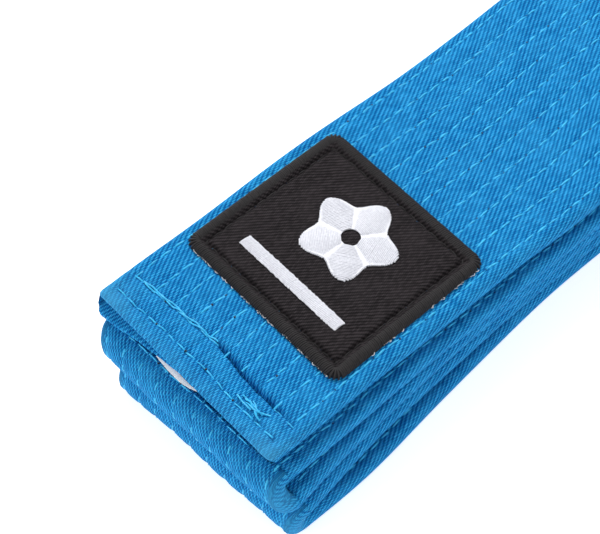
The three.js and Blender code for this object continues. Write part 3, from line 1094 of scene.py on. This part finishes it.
# The overlock border: a soft core with thread looped over it.
def badgeBorder():
    places, outs = badgeOutline(badge["border"] / 2, 0.8 * mm)
    angles = np.linspace(0, 2 * math.pi, 13)[:-1]
    rings = []
    for (a, b), (nx, ny) in zip(places, outs):
        offset = np.cos(angles) * (badge["border"] / 2 - 0.15 * mm)
        rise = 0.06 * mm + np.maximum(np.sin(angles), -0.05) * (badge["borderHeight"] - 0.2 * mm)
        x, y = badgeX + a * wideX + nx * offset, badgeY + b * wideY + ny * offset
        rings.append(np.stack([x, y, badgeBed(x, y) + rise], axis=-1))
    points = np.stack(rings)
    count, size = points.shape[:2]
    faces = []
    for j in range(count):
        for i in range(size):
            a, b = j * size + i, j * size + (i + 1) % size
            k = (j + 1) % count
            faces.append((a, k * size + i, k * size + (i + 1) % size, b))
    piece = meshPiece("badge_border_core", points.reshape(-1, 3).tolist(), faces, blackThread)
    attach(piece, "top_run")
    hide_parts("badge_border")

    places, outs = badgeOutline(badge["border"] / 2, badge["wrapPitch"])
    dice = random.Random(3)
    loops = []
    sweep = np.linspace(-0.12, math.pi + 0.2, 9)
    for (a, b), (nx, ny) in zip(places, outs):
        wide = badge["border"] / 2 * dice.uniform(0.97, 1.03)
        tall = badge["borderHeight"] * dice.uniform(0.97, 1.03)
        slip = np.linspace(-0.2, 0.2, len(sweep)) * mm + dice.uniform(-0.03, 0.03) * mm
        offset = np.cos(sweep) * wide
        x = badgeX + a * wideX + nx * offset - ny * slip
        y = badgeY + b * wideY + ny * offset + nx * slip
        rise = np.maximum(np.sin(sweep), -0.03) * (tall - badge["wrapRadius"]) + 0.1 * mm
        loops.append(np.stack([x, y, badgeBed(x, y) + rise], axis=-1))
    threadPiece("badge_border_loops", loops, badge["wrapRadius"], blackThread, "top_run")


seamStitches = {"pitch": 2.3 * mm, "length": 1.9 * mm, "radius": 0.17 * mm, "holeShare": 0.3}


def badgeSeam():
    places, outs = badgeOutline(badge["seamInset"], 1.0 * mm)
    places = np.concatenate([places, places[:1]])
    x, y = badgeX + places[:, 0] * wideX, badgeY + places[:, 1] * wideY
    line = np.stack([x, y, badgeBed(x, y) + badge["base"] - badge["dip"] + 0.05 * mm], axis=-1)
    outward = [np.tile([0.0, 0.0, 1.0], (len(line), 1))]
    settings = stitchSettings(71, thread=blackThread, **seamStitches)
    piece = growPiece("badge_seam_stitches", [line], stitchTree, settings, outward)
    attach(piece, "top_run")
    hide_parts("badge_seam")


embroidery = {
    "threadPitch": 0.27 * mm, "radius": 0.17 * mm, "pad": 0.28 * mm, "puff": 0.32 * mm, "sunk": 0.05 * mm,
    "petals": 5, "petalDepth": 0.16, "eye": 1.55 * mm,
}


def padMesh(name, outlinePoints, innerPoints=None):
    count = len(outlinePoints)
    inner = outlinePoints * 0 + outlinePoints.mean(axis=0) if innerPoints is None else innerPoints
    rings = []
    for points, lift in ((outlinePoints, 0.0), (outlinePoints, 1.0), (inner, 1.0), (inner, 0.0)):
        foot = badgeBed(points[:, 0], points[:, 1]) + badge["base"] - embroidery["sunk"]
        rings.append(np.column_stack([points, foot + lift * (embroidery["pad"] + embroidery["sunk"])]))
    faces = []
    for ring in range(4):
        for i in range(count):
            j, below = (i + 1) % count, (ring + 1) % 4
            faces.append((ring * count + i, ring * count + j, below * count + j, below * count + i))
    piece = meshPiece(name, np.concatenate(rings).tolist(), faces, whiteThread, smoothShaded=False)
    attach(piece, "top_run")
    return piece


def satinStrand(start, end, rng):
    share = np.linspace(0, 1, 7)[:, None]
    line = start + (end - start) * share
    length = float(np.hypot(*(end - start)))
    puff = embroidery["puff"] * min(1, length / (2.5 * mm)) * rng.uniform(0.85, 1.1)
    foot = badgeBed(line[:, 0], line[:, 1]) + badge["base"] + 0.06 * mm
    return np.column_stack([line, foot + puff * np.sin(np.pi * share[:, 0]) ** 0.6])


# Five petals of satin stitch, each sewn across from its middle line, round an open eye.
def badgeBlossom():
    low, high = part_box("badge_blossom")
    centre = np.array([(low.x + high.x) / 2, (low.y + high.y) / 2]) + badge["shift"]
    reach = (high.x - low.x) / 2
    petals, depth, eye = embroidery["petals"], embroidery["petalDepth"], embroidery["eye"]
    rng = random.Random(5)
    angles = np.linspace(0, 2 * math.pi, 121)[:-1]

    def rim(angle):
        return reach * (1 + depth * np.cos(petals * (angle - math.pi / 2))) / (1 + depth)

    # the nearest and furthest steps from the middle line that lie on the petal
    def petalSpan(forward, side, at):
        found = []
        for step in np.linspace(0, 6.5 * mm, 90):
            spot = forward * at + side * step
            onPetal = math.atan2(step, at) < math.pi / petals
            if onPetal and eye < math.hypot(*spot) < rim(math.atan2(spot[1], spot[0])):
                found.append(step)
        return (found[0], found[-1]) if found else None

    rays = np.stack([np.cos(angles), np.sin(angles)], axis=-1)
    outer = centre + rays * (rim(angles) - 0.1 * mm)[:, None]
    pad = padMesh("badge_blossom_pad", outer, centre + rays * (eye + 0.1 * mm))
    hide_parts("badge_blossom")
    strands = []
    for petal in range(petals):
        axis = math.pi / 2 + petal * 2 * math.pi / petals
        forward = np.array([math.cos(axis), math.sin(axis)])
        side = np.array([-forward[1], forward[0]])
        at = eye * 0.55
        while at < reach:
            for direction in (-1, 1):
                span = petalSpan(forward, side * direction, at)
                if span is None or span[1] - span[0] < 0.3 * mm:
                    continue
                nearby = span[0]
                if nearby <= 0.2 * mm:  # the right half sews the whole width where the petal has a middle
                    if direction == -1:
                        continue
                    nearby = -span[1]
                start = centre + forward * at + side * direction * nearby
                end = centre + forward * (at + 0.12 * mm) + side * direction * span[1]
                strands.append(satinStrand(start, end, rng))
            at += embroidery["threadPitch"]
    threadPiece(
        "badge_blossom_satin", strands, embroidery["radius"], whiteThread, "top_run",
    )


def badgeBar():
    low, high = (corner + Vector((*badge["shift"], 0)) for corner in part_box("badge_bar"))
    corners = np.array([(low.x, low.y), (high.x, low.y), (high.x, high.y), (low.x, high.y)])
    corners = corners + np.array([(1, 1), (-1, 1), (-1, -1), (1, -1)]) * 0.1 * mm
    pad = padMesh("badge_bar_pad", corners)
    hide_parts("badge_bar")
    rng = random.Random(9)
    strands = []
    tilt = 0.14 * mm
    for x in np.arange(low.x + 0.15 * mm, high.x - 0.1 * mm, embroidery["threadPitch"]):
        start = np.array([x - tilt, low.y + rng.uniform(-0.07, 0.07) * mm])
        end = np.array([x + tilt, high.y + rng.uniform(-0.07, 0.07) * mm])
        strands.append(satinStrand(start, end, rng))
    threadPiece("badge_bar_satin", strands, embroidery["radius"], whiteThread, "top_run")


lint = {"front": 46, "right": 20, "radius": 0.055 * mm}


# Light fluff caught along the badge's front and right edges.
def badgeLint():
    rng = random.Random(21)
    strands = []
    half = badgeHalf + 0.12 * mm
    for count, onFront in ((lint["front"], True), (lint["right"], False)):
        for _ in range(count):
            along = rng.uniform(-0.86, 0.95) * half
            steps = np.linspace(-0.5, 0.5, 5)
            run = steps * rng.uniform(0.25, 0.75) * mm
            swerve = rng.uniform(-0.22, 0.22) * mm * np.cos(steps * math.pi)
            swerve = swerve + steps * rng.uniform(-0.3, 0.3) * mm
            a, b = (along + run, -half + swerve) if onFront else (half - swerve, along + run)
            x, y = badgeX + a * wideX, badgeY + b * wideY
            z = badgeBed(x, y) + rng.uniform(0.18, 0.42) * mm + 0 * x
            strands.append(np.column_stack([x, y, z]))
    threadPiece("badge_lint", strands, lint["radius"], lintFibre, "top_run", sides=4)


badgeGround()
badgeBorder()
badgeLint()
badgeSeam()
badgeBlossom()
badgeBar()
print("badge built")

reach = studio["floorReach"]
corners = [(-reach, -reach, 0), (reach, -reach, 0), (reach, reach, 0), (-reach, reach, 0)]
meshPiece("floor", corners, [(0, 1, 2, 3)], floorCloth, smoothShaded=False)
